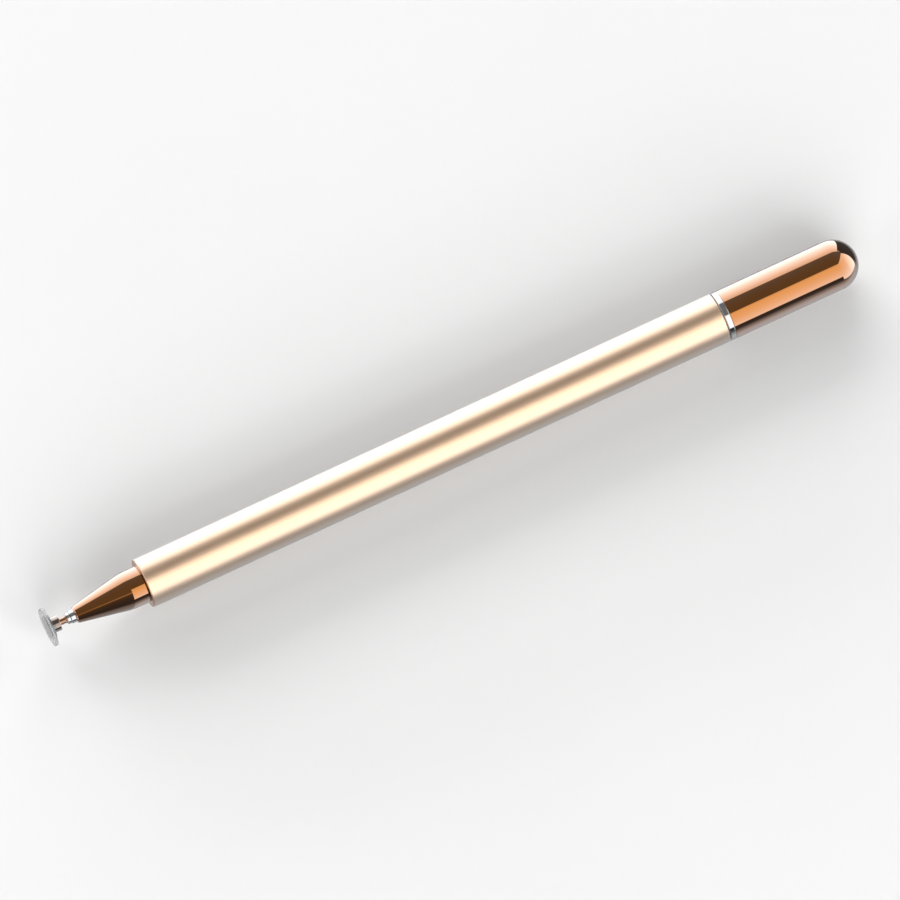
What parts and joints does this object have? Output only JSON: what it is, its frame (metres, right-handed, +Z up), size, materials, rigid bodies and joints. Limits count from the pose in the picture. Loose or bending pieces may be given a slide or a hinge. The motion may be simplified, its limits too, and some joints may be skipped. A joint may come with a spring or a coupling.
{
  "type": "stylus pen",
  "caption": "Slim round stylus pen with a clear disc nib on a ball joint, a satin barrel, a copper-coloured nose cone and a pull-off magnetic cap parked on the tail.",
  "frame": {"origin": "under the middle of the pen's length, on the surface that the barrel lies on", "axes": "+X along the pen from the disc towards the cap, +Z up"},
  "size_m": [0.1558, 0.009, 0.009],
  "materials": {
    "barrel_satin": "satin champagne anodised",
    "copper_mirror": "mirror copper-coloured plating on brass",
    "chrome": "bright chrome plating",
    "nickel": "nickel-plated sintered magnet",
    "bare_brass": "turned brass",
    "disc_clear": "clear moulded polycarbonate",
    "seat_plastic": "natural acetal",
    "liner_plastic": "black moulded plastic"
  },
  "bodies": {
    "barrel": {"barrel": "barrel_satin", "front_magnet": "nickel", "tail_magnet": "nickel", "front_bush": "bare_brass", "tail_bush": "bare_brass", "nose_cone": "copper_mirror", "tail_plug": "copper_mirror", "front_ring": "copper_mirror", "nose_ring": "chrome", "nib_collar": "chrome", "ball_stem": "copper_mirror"},
    "ball_seat": {"ball_seat": "seat_plastic"},
    "disc": {"disc": "disc_clear", "disc_hub": "chrome", "retaining_collar": "copper_mirror"},
    "cap": {"cap_shell": "copper_mirror", "cap_ring": "chrome", "cap_liner": "liner_plastic"}
  },
  "joints": [
    {"name": "disc_turn", "type": "hinge", "parent": "barrel", "child": "ball_seat", "pos_m": [-0.07595, 0, 0.0045], "axis": [1, 0, 0], "continuous": true},
    {"name": "disc_tilt", "type": "hinge", "parent": "ball_seat", "child": "disc", "pos_m": [-0.07595, 0, 0.0045], "axis": [0, 1, 0], "range_deg": [-30, 30]},
    {"name": "cap_slide", "type": "slide", "parent": "barrel", "child": "cap", "axis": [1, 0, 0], "range_m": [0, 0.03]}
  ]
}
